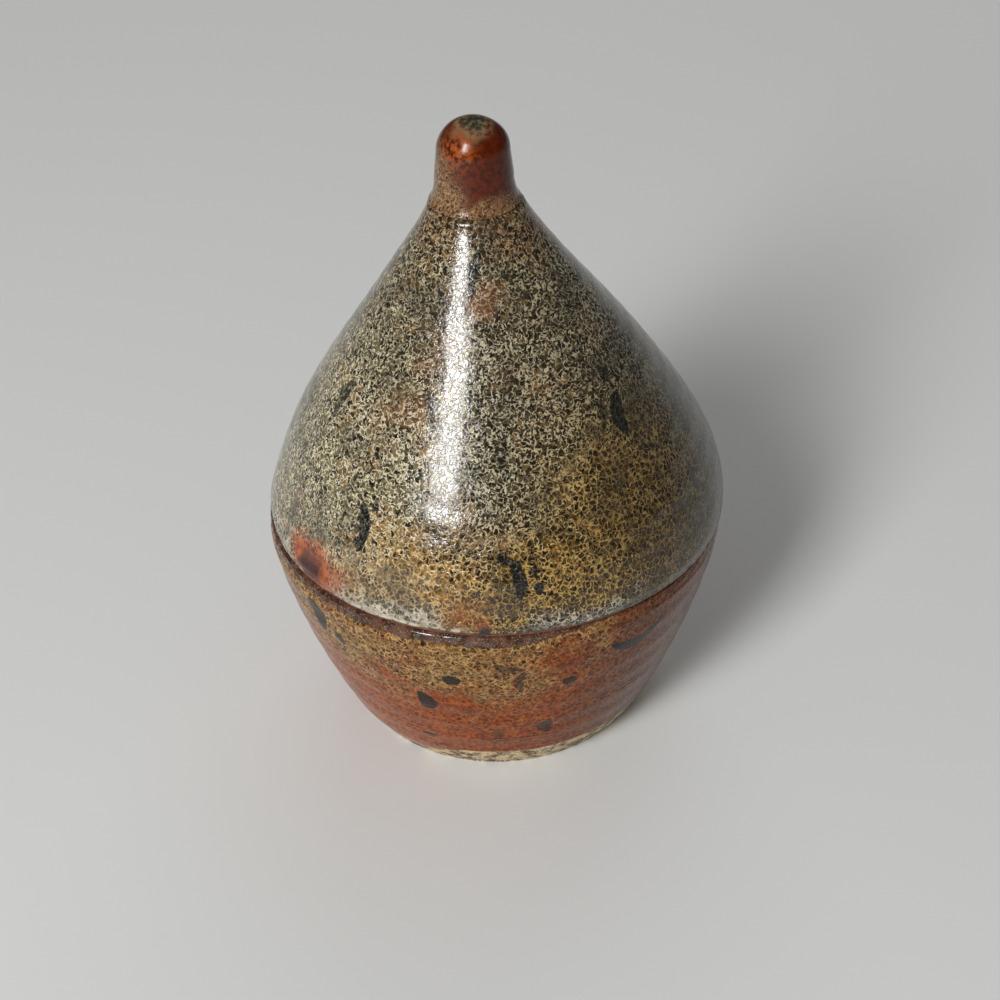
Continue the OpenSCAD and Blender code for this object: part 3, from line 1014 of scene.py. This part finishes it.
# %% [markdown]
# ## Glaze of the bowl: rim and foot
# Rim and foot are bare: dark and lumpy with broken glints above, pale and sandy below. The bare rim
# is widest in front, and the bare foot runs out to the left. The glints come from a thin coat, whose
# weight is a mask, because the shader's coat is the part that can be switched on in spots.

# %% Jar glaze: rim, foot and finish
# The pale grains of rim and foot are partly their own colour and partly painted glints
rim = use(bare_clay, Vector=where, Scale=2400.0, Dark=srgb(58, 37, 28), Pale=srgb(98, 65, 47),
          Grain=srgb(186, 152, 120))
foot = use(bare_clay, Vector=where, Scale=1200.0, Dark=srgb(84, 58, 34),
           Pale=srgb(214, 190, 146), Grain=srgb(255, 252, 236))
# The bare rim is narrower on the right and on the far left
thin = gain(rise(place["X"], 0.005, 0.04), -0.0035, exact["Z"])
thin = gain(rise(place["X"], -0.030, -0.062), -0.0008, thin)
at_rim = rise(gain(noise(where, 60.0, 3.0), 0.004, thin), 0.0797, 0.0807)
# The bare foot is a centimetre high, and runs out to the left
around_foot = gain(rise(place["X"], -0.040, -0.012), 0.0105, 0.001)
at_foot = rise(calc("SUBTRACT", exact["Z"], around_foot), times(noise(where, 160.0), 0.002), -0.0004)
glaze = mix(at_foot, mix(at_rim, glaze, rim["Color"]), foot["Color"])
# Rough where bare, with gleaming lumps along the rim
rough = gain(at_foot, 0.25, gain(noise(where, 90.0), 0.15, 0.12))
gleam = rise(noise(where, 240.0, 3.0), 0.40, 0.60)
rough = part(at_rim, rough, gain(gleam, 0.5, 0.10))
trimmed = gain(bands, 0.45, times(peel["Height"], 0.45))
height = mix(salted, trimmed, peel["Height"])
lumps = gain(noise(where, 300.0, 1.0), 5.0, rim["Height"])
height = mix(at_foot, mix(at_rim, height, lumps), foot["Height"])
dress(shader, glaze, rough, height, depth=0.00015, IOR=1.45, Specular_IOR_Level=0.2,
      Coat_Roughness=0.10, Coat_IOR=1.6)
glint = times(at_rim, rise(noise(where, 400.0, 2.0), 0.46, 0.56))
tree.links.new(glint, shader.inputs["Coat Weight"])
print("jar glaze:", len(tree.nodes), "nodes")

# %% [markdown]
# ## Glaze of the knob
# The knob is chestnut brown and glossier than the rest. The pale orange peel creeps up one side from
# the cone, an amber patch lies on its shoulder by the highlight, partly the glaze's own colour and
# partly painted light, and a grey-green spot with a pale ring on its top.

# %% Material: knob glaze
KNOB_TOP = (knob_x * MM, -0.0024, 0.2266)
KNOB_SHOULDER = (-0.0085, -0.0091, 0.2210)
knob_glaze, shader, where = new_material("knob_glaze")
soft = shaken(where, 110.0, 0.009)
place = axes(soft)
peel = use(orange_peel, Vector=where, Scale=680.0, Wander=1.2, Cover=-0.01, Worm=0.6)
# Chestnut brown with the amber patch, partly its own colour and partly painted light
mottle = noise(where, 520.0, 4.0, 0.6)
brown = mix(rise(mottle, 0.38, 0.64), srgb(92, 30, 3), srgb(60, 19, 2))
amber_and_painted_light = patch(soft, KNOB_SHOULDER, 5.6, 0.8)
brown = tint(brown, amber_and_painted_light, rise(mottle, 0.62, 0.36), srgb(156, 80, 38))
# Pale orange peel creeps up from the left, and all round low down
side = gain(place["X"], -1.0, times(place["Z"], -0.55))
creeping = times(rise(side, -0.1115, -0.1000), 0.8)
low = times(rise(place["Z"], 0.2060, 0.2000), 0.75)
salted = most(creeping, low)
peeled = mix(peel["Pit"], srgb(116, 80, 46), srgb(50, 30, 14))
peeled = mix(peel["Net"], peeled, srgb(188, 162, 120))
glaze = mix(salted, brown, peeled)
# The spot and its ring
top = patch(soft, KNOB_TOP, 6.6, 0.4)
spot = patch(soft, KNOB_TOP, 4.7, 0.5)
glaze = tint(glaze, top, rise(mottle, 0.35, 0.55), srgb(150, 120, 86))
green = mix(rise(mottle, 0.48, 0.68), srgb(44, 46, 36), srgb(112, 104, 80))
glaze = mix(spot, glaze, green)
rough = gain(noise(where, 120.0), 0.05, 0.015)
height = times(peel["Height"], gain(salted, 0.8, 0.2))
dress(shader, glaze, rough, height, depth=0.00010, IOR=1.52, Specular_IOR_Level=0.28)
print("knob glaze:", len(tree.nodes), "nodes")

# %% [markdown]
# ## Inside and underneath
# The inside of the bowl has a thin brown liner glaze that was poured in and out. The lid's hollow and
# the underside of the foot are bare, toasted clay with the rings of the potter's fingers and tools.

# %% Materials: liner glaze, lid inside and underside
jar_liner, shader, where = new_material("jar_liner")
streaks = noise(vec("MULTIPLY", where, (30.0, 30.0, 260.0)), 1.0, 2.0)
cloud = noise(where, 60.0, 5.0, 0.65)
colour = mix(rise(cloud, 0.38, 0.62), srgb(112, 78, 48), srgb(84, 52, 30))
colour = tint(colour, rise(streaks, 0.45, 0.65), 0.3, srgb(70, 44, 28))
specks = put("TexVoronoi", {"feature": "F1"}, Vector=where, Scale=520.0).outputs["Distance"]
speck = times(rise(specks, 0.3, 0.2), rise(noise(where, 70.0), 0.5, 0.6))
colour = tint(colour, speck, 0.7, srgb(40, 28, 20))
dress(shader, colour, gain(streaks, 0.2, 0.12), cloud, depth=0.0003, strength=0.3)

lid_inside, shader, where = new_material("lid_inside")
clay = use(bare_clay, Vector=where, Scale=700.0, Dark=srgb(132, 82, 56), Pale=srgb(168, 112, 78),
           Grain=srgb(206, 172, 136))
rings = noise(vec("MULTIPLY", where, (15.0, 15.0, 330.0)), 1.0, 2.0)
colour = tint(clay["Color"], rise(rings, 0.4, 0.65), 0.4, srgb(110, 66, 46))
height = calc("ADD", rings, clay["Height"])
dress(shader, colour, gain(rings, 0.15, 0.6), height, depth=0.0003, strength=0.4)

jar_underside, shader, where = new_material("jar_underside")
clay = use(bare_clay, Vector=where, Scale=650.0, Dark=srgb(172, 132, 94),
           Pale=srgb(204, 170, 128), Grain=srgb(226, 206, 174))
flat = axes(where)
from_axis = calc("SQRT", calc("ADD", times(flat["X"], flat["X"]), times(flat["Y"], flat["Y"])))
tool = calc("SINE", gain(from_axis, 2400.0, times(noise(where, 30.0), 4.0)))
colour = mix(gain(tool, 0.12, 0.12), clay["Color"], srgb(140, 98, 66))
height = gain(tool, 0.4, clay["Height"])
dress(shader, colour, gain(clay["Spark"], -0.2, 0.75), height, depth=0.0003, strength=0.4)
print("liner, lid inside and underside ready")

# %% [markdown]
# ## Putting the pieces together
# Each skin takes the place of one solid and rides on that solid's body: the bowl stays on the
# table, and the cone and the knob move with the lid.

# %% Make the pieces and hand over
bowl = ring_skin("jar_bowl", jar_rings, [jar_glaze, jar_liner, jar_underside], jar_finish)
cap = ring_skin("lid_shell", lid_rings, [lid_glaze, lid_inside], lid_finish)
grip = ring_skin("lid_grip", knob_rings, [knob_glaze], np.zeros(len(knob_rings), int))
for piece, body, node, slot in ((bowl, "jar", "jar_body", "jar_glaze"),
                                (cap, "lid", "lid_cone", "lid_glaze"),
                                (grip, "lid", "lid_knob", "knob_glaze")):
    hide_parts(node)
    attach(piece, body)
    print(piece.name, "rides on", body)
